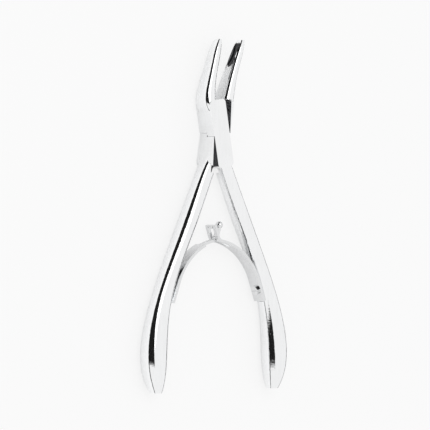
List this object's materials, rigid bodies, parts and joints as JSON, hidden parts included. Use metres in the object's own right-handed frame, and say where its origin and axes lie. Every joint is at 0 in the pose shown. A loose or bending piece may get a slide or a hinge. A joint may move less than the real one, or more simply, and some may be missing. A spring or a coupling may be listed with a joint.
{
  "type": "bone rongeur",
  "caption": "Slender bone rongeur with bowed cup-tipped jaws, a lap joint, plain rounded handles and crossed leaf springs that hold it open.",
  "frame": {"origin": "on the pivot axis, in the plane of the joint's flat back face, on which the instrument lies", "axes": "+Y from the handles to the jaws, +X to the right seen from the front face, +Z along the pivot axis out of the front face"},
  "size_m": [0.0732, 0.1406, 0.0096],
  "materials": {
    "polished_steel": "mirror polished stainless steel",
    "spring_steel": "polished spring steel",
    "screw_steel": "polished stainless steel"
  },
  "bodies": {
    "back_arm": {"back_arm": "polished_steel", "left_leaf_spring": "spring_steel", "left_spring_screw": "screw_steel"},
    "front_arm": {"front_arm": "polished_steel", "pivot_pin": "polished_steel", "right_leaf_spring": "spring_steel", "right_spring_screw": "screw_steel"}
  },
  "joints": [
    {"name": "jaw_close", "type": "hinge", "parent": "back_arm", "child": "front_arm", "pos_m": [0, 0, 0.0045], "axis": [0, 0, -1], "range_deg": [0, 13], "stiffness_Nm_per_rad": 1.5, "springref_deg": -5.73, "deforming": ["left_leaf_spring", "right_leaf_spring"]}
  ]
}
